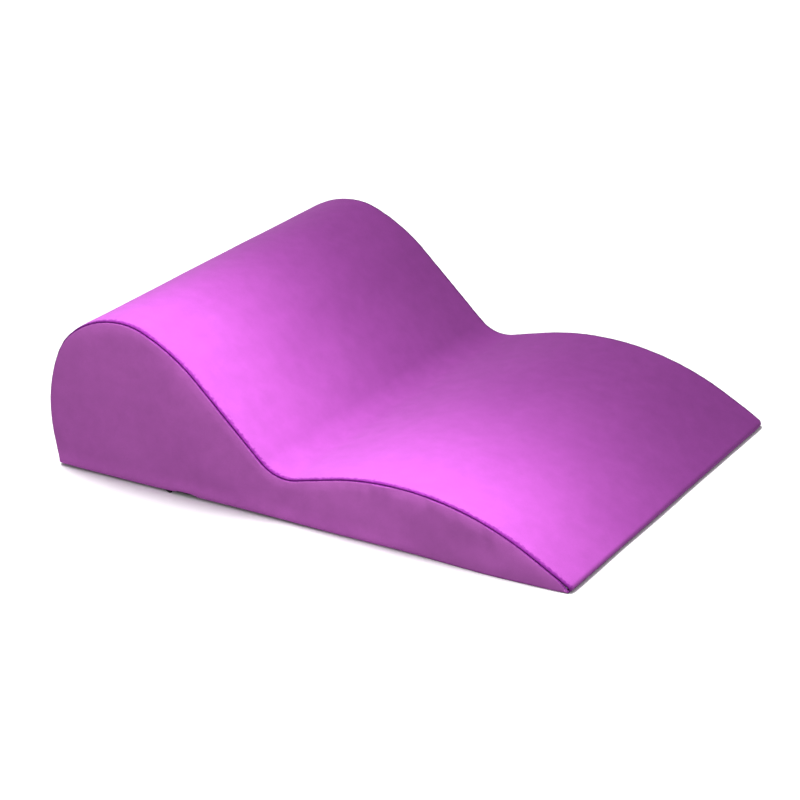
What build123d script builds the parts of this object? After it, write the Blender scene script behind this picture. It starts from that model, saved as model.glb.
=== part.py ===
from build123d import *
import os

# Wave-shaped foam wedge cushion in a zip-off velour cover. Millimetres.
# +X runs from the tall back to the low front edge, +Y to the far side, +Z up.
# The origin is the centre of the footprint, on the floor.

# Overall size
WIDTH = 610.0
HEIGHT = 240.0
HUMP_HEIGHT = 92.0
HEEL_X = -405.0
NOSE_X = 430.7
HALF_WIDTH = WIDTH / 2

# Side outline: corners of the wave with the radius that rounds each one
OUTLINE = [
    ((HEEL_X, 0.0), 0.0),
    ((-422.8, 108.3), 220.0),
    ((-383.6, 195.4), 97.0),
    ((-326.2, HEIGHT), 136.0),
    ((-258.8, HEIGHT), 100.0),
    ((-190.8, 212.7), 266.0),
    ((-30.9, 59.2), 57.5),
    ((102.8, HUMP_HEIGHT), 411.0),
    ((264.3, HUMP_HEIGHT), 420.0),
    ((NOSE_X, 0.0), 5.5),
]

# Layers, from the outside in
COVER = 2.0
EASE = 0.5
LINER = 0.5
LINER_OUT = COVER + EASE
LINER_IN = LINER_OUT + LINER
FOAM_OUT = LINER_IN + EASE
NOSE_SEAM_X = 406.0
THREAD = 0.45

# Zip line: a U in plan, along the near side, round the back and along the far side
ZIP_INSET = 10.5
ZIP_Y = HALF_WIDTH - ZIP_INSET
ZIP_BACK_X = HEEL_X + ZIP_INSET
ZIP_CORNER = 18.0
ZIP_END_X = -167.0
TAPE_END_X = -158.0
RECESS_END_X = -150.0

# Zip heights above the floor
HEM_LOW = 2.8
TAPE_LOW = 5.05
TAPE_THICK = 0.5
COIL_THICK = 1.8
COIL_NEAR = 0.8
COIL_FAR = 3.0
ZIP_MID_Z = TAPE_LOW + TAPE_THICK / 2
RECESS_TOP = 8.2

# Zip widths, measured from the zip line
HEM_GAP = 5.2
TAPE_OUTER = 8.1
TAPE_INNER = 9.5
RISER_NEAR = 11.5
RISER_FAR = 13.5
RECESS_INNER = 14.0

STITCH_NEAR = 6.4
STITCH_FAR = 7.0
STOP_LENGTH = 3.0

# Cutting boxes and plans reach past the cushion on every side
BEYOND_X = 500.0
BEYOND_Y = 400.0
BEYOND_Z = 400.0
BELOW = -10.0
ABOVE_HEM = 20.0
ZIP_PLAN_LENGTH = 2000.0
HEM_WALL_LAP = 1.0
BACK_HEM_REACH = 40.0
SHARP_RADIUS = 0.2

# Slider and pull
SLIDER_X = -226.5
SLIDER_LENGTH = 12.6
SLIDER_FRONT_WIDTH = 9.2
SLIDER_BACK_WIDTH = 7.8
PLATE_LOW_Z = 3.2
PLATE_THICK = 0.9
CHANNEL_LOW_Z = PLATE_LOW_Z + PLATE_THICK
CHANNEL_HIGH_Z = 6.5
LIP_WIDTH = 1.1
LIP_HEIGHT = 0.65
NECK_THICK = 1.0
NECK_LENGTH = 3.0
NECK_SETBACK = 1.0
NECK_LOW_Z = 4.0
NECK_HIGH_Z = 7.0
PLATE_CORNER = 1.6
BRIDGE_LAP = 0.1
BRIDGE_LOW_Z = 0.3
BRIDGE_THICK = 0.9
BRIDGE_WIDTH = 1.6
BRIDGE_SPAN = 5.2
BRIDGE_FOOT = 1.3
PULL_Z = 2.1
PULL_YAW = 25.0
PULL_DROOP = 4.0
PULL_LENGTH = 20.5
PULL_THICK = 1.2
PULL_HEAD_WIDTH = 8.0
PULL_TIP_WIDTH = 5.6
EYE_HALF_WIDTH = 2.8
EYE_LENGTH = 4.9
EYE_BAR_RADIUS = 0.65
EYE_BAR_LAP = 0.6
PULL_BACK = 0.4
SHOULDER_X = EYE_LENGTH + 2.5
SHOULDER_RUN = 1.5
HEAD_CORNER = 0.6
SHOULDER_CORNER = 1.2
TIP_CORNER = 2.6
TIP_HOLE_RADIUS = 1.1
TIP_HOLE_SETBACK = 3.6

# Sewn-in care label
LABEL_LENGTH = 60.0
LABEL_WIDTH = 38.0
LABEL_X = -100.0
LABEL_THICK = 0.3
LABEL_INSET = 4.0
LABEL_GAP = 0.1


def box(x0, x1, y0, y1, z0, z1):
    """A box between two corners."""
    size = Box(x1 - x0, y1 - y0, z1 - z0, align=(Align.MIN, Align.MIN, Align.MIN))
    return Pos(x0, y0, z0) * size


def inset_corner(before, corner, after, radius, inset):
    """A corner of the outline and its rounding, both drawn in by an inset."""
    first = (Vector(*corner) - Vector(*before)).normalized()
    second = (Vector(*after) - Vector(*corner)).normalized()
    inward = Vector(first.Y + second.Y, -first.X - second.X)
    moved = Vector(*corner) + inward * (inset / (1 + first.dot(second)))
    concave = first.cross(second).Z > 0
    rounding = radius + inset if concave else max(radius - inset, SHARP_RADIUS)
    return (moved.X, moved.Y), rounding if radius else 0.0


def outline(inset=0.0):
    """The side outline as a face in the XZ plane, drawn in by an inset."""
    count = len(OUTLINE)
    moved = []
    for i, (corner, radius) in enumerate(OUTLINE):
        before = OUTLINE[i - 1][0]
        after = OUTLINE[(i + 1) % count][0]
        moved.append(inset_corner(before, corner, after, radius, inset))
    points = [point for point, _ in moved]
    radii = [radius for _, radius in moved]
    return make_face(Plane.XZ * FilletPolyline(*points, radius=radii, close=True))


def slab(face, y0, y1):
    """The outline pushed along Y between two planes."""
    return extrude(Pos(0, y1, 0) * face, amount=y1 - y0, dir=(0, -1, 0))


def zip_outline(grow):
    """Rounded plan outline that follows the zip line, grown outwards."""
    size = ZIP_PLAN_LENGTH + 2 * grow
    shape = RectangleRounded(size, 2 * (ZIP_Y + grow), ZIP_CORNER + grow)
    return Pos(ZIP_BACK_X + ZIP_PLAN_LENGTH / 2, 0) * shape


def zip_band(outer, inner, z0, z1, end_x):
    """A flat U-shaped band beside the zip line, from an outer to an inner offset."""
    ring = zip_outline(outer) - zip_outline(inner)
    band = Pos(0, 0, z0) * extrude(ring, amount=z1 - z0)
    return band & box(-BEYOND_X, end_x, -BEYOND_Y, BEYOND_Y, z0 - COVER, z1 + COVER)


def recess(top, inner, end_x):
    """Space along the lower edge where the zip lies."""
    body = box(-BEYOND_X, end_x, -BEYOND_Y, BEYOND_Y, BELOW, top)
    core = Pos(0, 0, BELOW) * extrude(zip_outline(-inner), amount=BEYOND_Z)
    return body - core


def hollow(inset, top, inner, end_x):
    """The cushion's body drawn in by an inset, less the zip's recess."""
    half = HALF_WIDTH - inset
    return slab(outline(inset), -half, half) - recess(top, inner, end_x)


def hem_fold():
    """Folded hem between the outer walls and the zip's outer tape."""
    x_back = HEEL_X + HEM_WALL_LAP
    plan = box(x_back, RECESS_END_X, -HALF_WIDTH, HALF_WIDTH, HEM_LOW, TAPE_LOW)
    mouth = Pos(0, 0, BELOW) * extrude(zip_outline(HEM_GAP), amount=BEYOND_Z)
    return plan - mouth


def side_panel(side):
    """Flat side of the cover with its folded hem: side is -1 near, +1 far."""
    y_out = side * HALF_WIDTH
    y_in = side * (HALF_WIDTH - COVER)
    plate = slab(outline(), min(y_out, y_in), max(y_out, y_in))
    plate -= box(-BEYOND_X, RECESS_END_X, -BEYOND_Y, BEYOND_Y, BELOW, HEM_LOW)
    hem_y = side * (ZIP_Y - ZIP_CORNER)
    strip = box(-BEYOND_X, BEYOND_X, min(y_in, hem_y), max(y_in, hem_y), BELOW, ABOVE_HEM)
    return plate + (hem_fold() & strip & slab(outline(COVER), -HALF_WIDTH, HALF_WIDTH))


def cover_ring():
    """Cross-wise skin of the cover, before it is cut into top and base."""
    half = HALF_WIDTH - COVER
    return slab(outline(), -half, half) - slab(outline(COVER), -BEYOND_Y, BEYOND_Y)


def top_panel():
    """One strip from the back hem over both humps and round the front edge."""
    below = box(-BEYOND_X, NOSE_SEAM_X, -BEYOND_Y, BEYOND_Y, BELOW, COVER)
    below += box(-BEYOND_X, RECESS_END_X, -BEYOND_Y, BEYOND_Y, BELOW, HEM_LOW)
    strip_y = ZIP_Y - ZIP_CORNER
    hem_end = HEEL_X + BACK_HEM_REACH
    hem = hem_fold() & box(-BEYOND_X, hem_end, -strip_y, strip_y, BELOW, ABOVE_HEM)
    return cover_ring() - below + (hem & slab(outline(COVER), -strip_y, strip_y))


def base_panel():
    """Non-slip underside: a flat sheet whose edge steps up to the zip's inner tape."""
    half = HALF_WIDTH - COVER
    sheet = cover_ring() & box(-BEYOND_X, NOSE_SEAM_X, -half, half, BELOW, COVER)
    sheet -= recess(ABOVE_HEM, RISER_FAR, RECESS_END_X)
    riser = zip_band(-RISER_NEAR, -RISER_FAR, 0, TAPE_LOW, RECESS_END_X)
    rim = zip_band(-HEM_GAP, -RISER_NEAR, HEM_LOW, TAPE_LOW, RECESS_END_X)
    y_in = ZIP_Y - RISER_FAR
    end = box(RECESS_END_X, RECESS_END_X + COVER, y_in, half, COVER, TAPE_LOW)
    return sheet + riser + rim + end + mirror(end, about=Plane.XZ)


def zip_tape(sign):
    """Woven tape, +1 outside the zip line and -1 inside it."""
    high = TAPE_LOW + TAPE_THICK
    if sign > 0:
        return zip_band(TAPE_OUTER, COIL_NEAR, TAPE_LOW, high, TAPE_END_X)
    return zip_band(-COIL_NEAR, -TAPE_INNER, TAPE_LOW, high, TAPE_END_X)


def zip_coil(sign):
    """Row of coil teeth along one tape's edge, wrapped round the tape."""
    low = ZIP_MID_Z - COIL_THICK / 2
    high = ZIP_MID_Z + COIL_THICK / 2
    if sign > 0:
        row = zip_band(COIL_FAR, COIL_NEAR, low, high, ZIP_END_X)
    else:
        row = zip_band(-COIL_NEAR, -COIL_FAR, low, high, ZIP_END_X)
    return row - zip_tape(sign)


def zip_stop(side):
    """Moulded stop that closes the end of both coils: side is -1 near, +1 far."""
    low = ZIP_MID_Z - COIL_THICK / 2
    y = side * ZIP_Y
    x_end = ZIP_END_X + STOP_LENGTH
    stop = box(ZIP_END_X, x_end, y - COIL_FAR, y + COIL_FAR, low, low + COIL_THICK)
    return stop - zip_tape(1) - zip_tape(-1)


def zip_stitching(sign):
    """Line of lockstitch that holds a tape to its hem."""
    high = TAPE_LOW + TAPE_THICK
    first = sign * STITCH_NEAR
    second = sign * STITCH_FAR
    outer = max(first, second)
    inner = min(first, second)
    return zip_band(outer, inner, high, high + THREAD, TAPE_END_X)


def side_seam(side):
    """Seam thread inside the edge between a side panel and the top panel."""
    wall = side * (HALF_WIDTH - COVER)
    inside = wall - side * THREAD
    line = outline(COVER) - outline(COVER + THREAD)
    seam = slab(line, min(wall, inside), max(wall, inside))
    seam -= box(-BEYOND_X, NOSE_SEAM_X, -BEYOND_Y, BEYOND_Y, BELOW, COVER + THREAD)
    return seam - box(-BEYOND_X, RECESS_END_X, -BEYOND_Y, BEYOND_Y, BELOW, RECESS_TOP)


def base_seam():
    """Seam thread round the front part of the underside, clear of the zip."""
    half = HALF_WIDTH - COVER
    start = RECESS_END_X + 2 * COVER
    end = NOSE_SEAM_X - COVER
    outer = box(start, end, -half, half, COVER, COVER + THREAD)
    inner = box(-BEYOND_X, end - THREAD, THREAD - half, half - THREAD, BELOW, ABOVE_HEM)
    return outer - inner


def care_label():
    """Blank label from the base seam, lying between the cover and the liner."""
    x_end = LABEL_X + LABEL_LENGTH
    y_out = LABEL_INSET - HALF_WIDTH
    low = COVER + LABEL_GAP
    return box(LABEL_X, x_end, y_out, y_out + LABEL_WIDTH, low, low + LABEL_THICK)


def liner_shell():
    """Thin closed bag round the foam, following the zip's recess."""
    end_x = RECESS_END_X + 2 * COVER
    outer = hollow(LINER_OUT, RECESS_TOP, RECESS_INNER, end_x)
    inner = hollow(LINER_IN, RECESS_TOP + LINER, RECESS_INNER + LINER, end_x + LINER)
    return outer - inner


def liner_parts():
    """The liner bag cut along its seams into two sides, a base and a top."""
    shell = liner_shell()
    wall = HALF_WIDTH - LINER_IN
    near = shell & box(-BEYOND_X, BEYOND_X, -BEYOND_Y, -wall, BELOW, BEYOND_Z)
    far = shell & box(-BEYOND_X, BEYOND_X, wall, BEYOND_Y, BELOW, BEYOND_Z)
    middle = shell & box(-BEYOND_X, BEYOND_X, -wall, wall, BELOW, BEYOND_Z)
    low = box(-BEYOND_X, BEYOND_X, -BEYOND_Y, BEYOND_Y, BELOW, LINER_IN)
    end_x = RECESS_END_X + 2 * COVER + LINER
    low += box(-BEYOND_X, end_x, -BEYOND_Y, BEYOND_Y, BELOW, RECESS_TOP + LINER)
    return near, far, middle & low, middle - low


def foam_core():
    """Single contour-cut block of polyurethane foam."""
    end_x = RECESS_END_X + 2 * COVER + 2 * LINER
    top = RECESS_TOP + 2 * LINER
    return hollow(FOAM_OUT, top, RECESS_INNER + 2 * LINER, end_x)


def slider_plate(low, high):
    """One of the slider's two plates, wider at its front."""
    front = SLIDER_LENGTH / 2
    points = [
        (-front, -SLIDER_BACK_WIDTH / 2),
        (front, -SLIDER_FRONT_WIDTH / 2),
        (front, SLIDER_FRONT_WIDTH / 2),
        (-front, SLIDER_BACK_WIDTH / 2),
    ]
    face = make_face(FilletPolyline(*points, radius=PLATE_CORNER, close=True))
    return Pos(0, 0, low) * extrude(face, amount=high - low)


def zip_slider():
    """Slider body: two plates, side lips, the neck between the coils and the bridge."""
    top = CHANNEL_HIGH_Z + PLATE_THICK
    lower = slider_plate(PLATE_LOW_Z, CHANNEL_LOW_Z)
    upper = slider_plate(CHANNEL_HIGH_Z, top)
    lips = slider_plate(CHANNEL_LOW_Z, CHANNEL_HIGH_Z)
    half = SLIDER_LENGTH
    channel = SLIDER_FRONT_WIDTH / 2 - LIP_WIDTH
    lips -= box(-half, half, -channel, channel, 0, top)
    slot_low = CHANNEL_LOW_Z + LIP_HEIGHT
    slot_high = CHANNEL_HIGH_Z - LIP_HEIGHT
    lips -= box(-half, half, -half, half, slot_low, slot_high)
    x_neck = SLIDER_LENGTH / 2 - NECK_SETBACK
    y_neck = NECK_THICK / 2
    neck = box(x_neck - NECK_LENGTH, x_neck, -y_neck, y_neck, NECK_LOW_Z, NECK_HIGH_Z)
    bridge_end = BRIDGE_SPAN / 2 + BRIDGE_FOOT
    half_bridge = BRIDGE_WIDTH / 2
    bridge_top = PLATE_LOW_Z + BRIDGE_LAP
    bridge = box(-bridge_end, bridge_end, -half_bridge, half_bridge, BRIDGE_LOW_Z, bridge_top)
    gap = BRIDGE_SPAN / 2
    bridge -= box(-gap, gap, -half, half, BRIDGE_LOW_Z + BRIDGE_THICK, PLATE_LOW_Z)
    return Pos(SLIDER_X, -ZIP_Y, 0) * (lower + upper + lips + neck + bridge)


def pull_tab():
    """Flat pull with an eye round the bridge, hanging until its tip is at the floor."""
    head = PULL_HEAD_WIDTH / 2
    tip = PULL_TIP_WIDTH / 2
    near_x = SHOULDER_X - SHOULDER_RUN
    far_x = SHOULDER_X + SHOULDER_RUN
    points = [
        (-PULL_BACK, -head),
        (near_x, -head),
        (far_x, -tip),
        (PULL_LENGTH, -tip),
        (PULL_LENGTH, tip),
        (far_x, tip),
        (near_x, head),
        (-PULL_BACK, head),
    ]
    one_side = [HEAD_CORNER, SHOULDER_CORNER, SHOULDER_CORNER, TIP_CORNER]
    radii = one_side + one_side[::-1]
    face = make_face(FilletPolyline(*points, radius=radii, close=True))
    plate = Pos(0, 0, -PULL_THICK / 2) * extrude(face, PULL_THICK)
    eye = EYE_HALF_WIDTH
    plate -= box(-PULL_THICK, EYE_LENGTH, -eye, eye, -PULL_THICK, PULL_THICK)
    bar = Rot(90, 0, 0) * Cylinder(EYE_BAR_RADIUS, 2 * (EYE_HALF_WIDTH + EYE_BAR_LAP))
    hole = Pos(PULL_LENGTH - TIP_HOLE_SETBACK, 0, 0) * Cylinder(TIP_HOLE_RADIUS, 4 * PULL_THICK)
    tab = Rot(0, PULL_DROOP, 0) * (plate + bar - hole)
    return Pos(SLIDER_X, -ZIP_Y, PULL_Z) * Rot(0, 0, -PULL_YAW) * tab


def build():
    """Every sub-part by name."""
    liner_near, liner_far, liner_base, liner_top = liner_parts()
    return {
        "cover_top_panel": top_panel(),
        "cover_side_panel_near": side_panel(-1),
        "cover_side_panel_far": side_panel(1),
        "cover_base_panel": base_panel(),
        "zip_tape_side": zip_tape(1),
        "zip_tape_base": zip_tape(-1),
        "zip_coil_side": zip_coil(1),
        "zip_coil_base": zip_coil(-1),
        "zip_stop_near": zip_stop(-1),
        "zip_stop_far": zip_stop(1),
        "zip_stitching_side": zip_stitching(1),
        "zip_stitching_base": zip_stitching(-1),
        "side_seam_thread_near": side_seam(-1),
        "side_seam_thread_far": side_seam(1),
        "base_seam_thread": base_seam(),
        "care_label": care_label(),
        "liner_top_panel": liner_top,
        "liner_side_panel_near": liner_near,
        "liner_side_panel_far": liner_far,
        "liner_base_panel": liner_base,
        "foam_core": foam_core(),
        "zip_slider_body": zip_slider(),
        "zip_pull_tab": pull_tab(),
    }


def main():
    os.makedirs("parts", exist_ok=True)
    for name, shape in build().items():
        export_step(shape, f"parts/{name}.step")


main()
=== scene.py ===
import math

import bpy
import numpy as np
from mathutils import Matrix, Vector, noise
from mathutils.geometry import delaunay_2d_cdt


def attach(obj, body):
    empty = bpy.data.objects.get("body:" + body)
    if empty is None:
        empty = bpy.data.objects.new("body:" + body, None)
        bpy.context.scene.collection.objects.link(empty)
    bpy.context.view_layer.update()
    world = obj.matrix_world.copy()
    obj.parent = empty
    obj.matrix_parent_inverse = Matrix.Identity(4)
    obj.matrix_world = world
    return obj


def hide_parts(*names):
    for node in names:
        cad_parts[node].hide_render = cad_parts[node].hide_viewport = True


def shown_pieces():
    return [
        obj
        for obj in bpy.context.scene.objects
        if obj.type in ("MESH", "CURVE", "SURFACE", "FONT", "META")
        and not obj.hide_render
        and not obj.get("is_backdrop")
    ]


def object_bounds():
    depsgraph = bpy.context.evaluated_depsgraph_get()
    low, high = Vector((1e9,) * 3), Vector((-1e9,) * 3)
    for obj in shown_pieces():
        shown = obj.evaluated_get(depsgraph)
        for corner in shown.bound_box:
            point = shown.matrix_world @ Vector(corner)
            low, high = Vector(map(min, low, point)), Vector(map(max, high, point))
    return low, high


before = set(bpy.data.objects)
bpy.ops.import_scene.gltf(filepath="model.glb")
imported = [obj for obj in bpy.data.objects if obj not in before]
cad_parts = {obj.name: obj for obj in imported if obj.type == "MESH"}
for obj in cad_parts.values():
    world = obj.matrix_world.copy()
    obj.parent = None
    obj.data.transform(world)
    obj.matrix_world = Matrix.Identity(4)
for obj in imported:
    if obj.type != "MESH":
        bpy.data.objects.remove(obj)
cad_low, cad_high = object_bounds()

# Lengths here are in millimetres, and every mesh is scaled to metres when it is made.
MM = 0.001

# The cushion's outline, as in the CAD source: corner and the radius that rounds it.
HEEL = (-405.0, 0.0)
WAVE = [
    ((-422.8, 108.3), 220.0),
    ((-383.6, 195.4), 97.0),
    ((-326.2, 240.0), 136.0),
    ((-258.8, 240.0), 100.0),
    ((-190.8, 212.7), 266.0),
    ((-30.9, 59.2), 57.5),
    ((102.8, 92.0), 411.0),
    ((264.3, 92.0), 420.0),
    ((430.7, 0.0), 5.5),
]
HALF_WIDTH = cad_high.y / MM
NOSE_SEAM_X = 406.0
CLOSED_WAVE = [(HEEL, 0.0)] + WAVE + [((NOSE_SEAM_X, 0.0), 0.0)]

# Zip, in plan: a U that follows the lower edge round the back.
ZIP_INSET = 10.5
ZIP_Y = HALF_WIDTH - ZIP_INSET
ZIP_BACK_X = HEEL[0] + ZIP_INSET
ZIP_CORNER = 18.0
ZIP_END_X = -167.0
TAPE_END_X = -158.0
RECESS_END_X = -150.0
HEM_LOW = 2.8
TAPE_LOW = 5.05
TAPE_THICK = 0.5
ZIP_MID_Z = TAPE_LOW + TAPE_THICK / 2

# Cloth thicknesses, and the spacing of points along the outline: coarse, and fine near its ends.
VELOUR_THICK = 0.9
BASE_THICK = 0.8
LINER_THICK = 0.4
LABEL_THICK = 0.2
PATH_STEP = 3.0
FINE_STEP = 1.0
SEAM_FINE_BACK = 16.0
SIDE_FINE_BACK = 12.0
SEAM_FINE_FRONT = 40.0


# ---- helpers


def smooth(t):
    """Soft step from 0 to 1."""
    t = np.clip(t, 0.0, 1.0)
    return t * t * (3 - 2 * t)


def wobble(points, scale, seed):
    """Smooth noise at each 3-D point, about -1 to 1, with features of a given size."""
    shift = Vector((seed * 17.3, seed * 5.1, seed * 9.7))
    values = [noise.noise(Vector(p) / scale + shift) for p in points]
    return np.array(values) * 1.6


def rounded_line(corners, spacing=0.5):
    """Fine points along straight runs and arcs. Corners are ((x, z), radius)."""
    points = [np.array(corners[0][0], float)]
    for i in range(1, len(corners) - 1):
        here = np.array(corners[i][0], float)
        back = np.array(corners[i - 1][0], float) - here
        ahead = np.array(corners[i + 1][0], float) - here
        back /= np.linalg.norm(back)
        ahead /= np.linalg.norm(ahead)
        turn = math.pi - math.acos(float(np.clip(back @ ahead, -1, 1)))
        radius = corners[i][1]
        if radius <= 0 or turn < 1e-6:
            points.append(here)
            continue
        reach = radius * math.tan(turn / 2)
        middle = (back + ahead) / np.linalg.norm(back + ahead)
        centre = here + middle * radius / math.cos(turn / 2)
        start = here + back * reach - centre
        end = here + ahead * reach - centre
        first = math.atan2(start[1], start[0])
        sweep = (math.atan2(end[1], end[0]) - first + math.pi) % (2 * math.pi) - math.pi
        count = max(4, int(abs(sweep) * radius / spacing))
        for k in range(count + 1):
            angle = first + sweep * k / count
            points.append(centre + radius * np.array([math.cos(angle), math.sin(angle)]))
    points.append(np.array(corners[-1][0], float))
    return np.array(points)


def points_of(*values):
    """Points from their coordinates. A coordinate may be one number for all of them."""
    return np.stack(np.broadcast_arrays(*values), axis=1)


def lengths(points):
    """Distance along a line at each of its points."""
    return np.concatenate([[0], np.cumsum(np.linalg.norm(np.diff(points, axis=0), axis=1))])


def resample(points, stations):
    """Points and left-hand normals at given distances along a line."""
    near = 0.4
    along = lengths(points)
    keep = np.concatenate([[True], np.diff(along) > 1e-6])
    points = points[keep]
    along = along[keep]
    placed = np.stack([np.interp(stations, along, points[:, k]) for k in range(2)], axis=1)
    ahead = np.stack([np.interp(stations + near, along, points[:, k]) for k in range(2)], axis=1)
    behind = np.stack([np.interp(stations - near, along, points[:, k]) for k in range(2)], axis=1)
    tangent = ahead - behind
    tangent /= np.linalg.norm(tangent, axis=1)[:, None]
    return placed, points_of(-tangent[:, 1], tangent[:, 0])


def stations_of(total, fine_start, fine_end):
    """Distances along a line, closer together near its two ends."""
    middle = np.linspace(fine_start, total - fine_end, int((total - fine_start - fine_end) / PATH_STEP))
    start = np.linspace(0, fine_start, int(fine_start / FINE_STEP) + 1)[:-1]
    end = np.linspace(total - fine_end, total, int(fine_end / FINE_STEP) + 1)[1:]
    return np.concatenate([start, middle, end])


def spans(runs):
    """Stations along several runs, each (start, end, count)."""
    return np.concatenate([np.linspace(*run) for run in runs])


def new_object(name, points, faces, material, uvs=None):
    """A smooth-shaded mesh object from points in millimetres."""
    mesh = bpy.data.meshes.new(name)
    mesh.from_pydata((np.asarray(points) * MM).tolist(), [], [list(f) for f in faces])
    mesh.validate()
    mesh.polygons.foreach_set("use_smooth", [True] * len(mesh.polygons))
    if uvs is not None:
        layer = mesh.uv_layers.new(name="cloth")
        index = np.zeros(len(mesh.loops), int)
        mesh.loops.foreach_get("vertex_index", index)
        layer.data.foreach_set("uv", (np.asarray(uvs)[index] * MM).astype(np.float32).ravel())
    mesh.update()
    made = bpy.data.objects.new(name, mesh)
    bpy.context.scene.collection.objects.link(made)
    mesh.materials.append(material)
    return made


def set_attribute(shell, name, values):
    """Stores a number on each point of a shell's outer face, and the same on its inner one."""
    attribute = shell.data.attributes.new(name, "FLOAT", "POINT")
    attribute.data.foreach_set("value", np.concatenate([values, values]).astype(np.float32))


def vertex_normals(points, faces):
    """Area-weighted normals of a triangle or quad mesh."""
    normals = np.zeros_like(points)
    for corners in faces:
        a, b, c = (points[i] for i in corners[:3])
        n = np.cross(b - a, c - a)
        for i in corners:
            normals[i] += n
    size = np.linalg.norm(normals, axis=1)
    return normals / np.maximum(size, 1e-12)[:, None]


def closed_shell(points, faces, thickness):
    """Gives an open sheet of faces a thickness on its inner side and closes the rim.

    The thickness is one number, or one for each point.
    """
    points = np.asarray(points, float)
    normals = vertex_normals(points, faces)
    count = len(points)
    inner = points - normals * np.broadcast_to(thickness, count)[:, None]
    every = list(faces) + [[i + count for i in reversed(f)] for f in faces]
    edges = {}
    for f in faces:
        for a, b in zip(f, list(f[1:]) + [f[0]]):
            edges[(a, b)] = edges.get((a, b), 0) + 1
    for a, b in edges:
        if (b, a) not in edges:
            every.append([b, a, a + count, b + count])
    return np.concatenate([points, inner]), every


def grid_faces(rows, columns, flip=False):
    """Quads of a grid of points, row by row."""
    faces = []
    for i in range(rows - 1):
        for j in range(columns - 1):
            a = i * columns + j
            quad = [a, a + 1, a + columns + 1, a + columns]
            faces.append(quad[::-1] if flip else quad)
    return faces


# ---- materials


def new_material(name):
    """A new node material, with its node tree and its shader."""
    material = bpy.data.materials.new(name)
    material.use_nodes = True
    tree = material.node_tree
    return material, tree, tree.nodes["Principled BSDF"]


def set_inputs(node, values):
    """Feeds inputs of a node, by name or number, from other nodes or with plain values."""
    for key, value in values.items():
        if isinstance(value, bpy.types.NodeSocket):
            node.id_data.links.new(value, node.inputs[key])
        else:
            node.inputs[key].default_value = value


def object_place(tree):
    """Position on the object, for a texture to follow."""
    return tree.nodes.new("ShaderNodeTexCoord").outputs["Object"]


def noise_node(tree, coordinates, scale, detail=3.0, roughness=0.5):
    """A noise texture on given coordinates, as its value."""
    node = tree.nodes.new("ShaderNodeTexNoise")
    set_inputs(node, {"Vector": coordinates, "Scale": scale, "Detail": detail, "Roughness": roughness})
    return node.outputs["Fac"]


def math_node(tree, kind, *values):
    """A sum of some kind. Values are sockets or plain numbers."""
    node = tree.nodes.new("ShaderNodeMath")
    node.operation = kind
    set_inputs(node, dict(enumerate(values)))
    return node.outputs[0]


def range_node(tree, value, given, wanted):
    """A value mapped from one range to another."""
    node = tree.nodes.new("ShaderNodeMapRange")
    set_inputs(node, {"From Min": given[0], "From Max": given[1]})
    set_inputs(node, {"To Min": wanted[0], "To Max": wanted[1], "Value": value})
    return node.outputs["Result"]


def ramp_node(tree, value, stops):
    """A colour ramp on a value. Stops are (position, colour)."""
    node = tree.nodes.new("ShaderNodeValToRGB")
    elements = node.color_ramp.elements
    elements[0].position, elements[0].color = stops[0][0], (*stops[0][1], 1)
    elements[1].position, elements[1].color = stops[-1][0], (*stops[-1][1], 1)
    for position, colour in stops[1:-1]:
        elements.new(position).color = (*colour, 1)
    set_inputs(node, {"Fac": value})
    return node.outputs["Color"]


def mix_node(tree, kind, factor, first, second):
    """A colour mix. Factor, first and second are sockets or plain values."""
    node = tree.nodes.new("ShaderNodeMix")
    node.data_type = "RGBA"
    node.blend_type = kind
    set_inputs(node, {0: factor, 6: first, 7: second})
    return node.outputs[2]


def bump_node(tree, height, strength, distance, base=None):
    """A bump from a height socket."""
    node = tree.nodes.new("ShaderNodeBump")
    set_inputs(node, {"Strength": strength, "Distance": distance, "Height": height})
    if base is not None:
        set_inputs(node, {"Normal": base})
    return node.outputs["Normal"]


# Colour of the painted shade by the seams and in the gaping hem.
SEAM_SHADE_COLOUR = (0.075, 0.004, 0.090, 1)
SHEEN_TINT = (1.0, 0.62, 1.0, 1)
# How ragged the painted seam shade is, and how much the painted light and painted shade on the sides change
# the pile's colour.
RAGGED_BY = 0.28
PAINTED_LIGHT_SHADE_BY = 0.25


def greys(low, dark, high, light):
    """Ramp stops from one grey to another."""
    return [(low, (dark, dark, dark)), (high, (light, light, light))]


def attribute_value(tree, name):
    """A number stored on the points of the mesh."""
    node = tree.nodes.new("ShaderNodeAttribute")
    node.attribute_name = name
    return node.outputs["Fac"]


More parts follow.
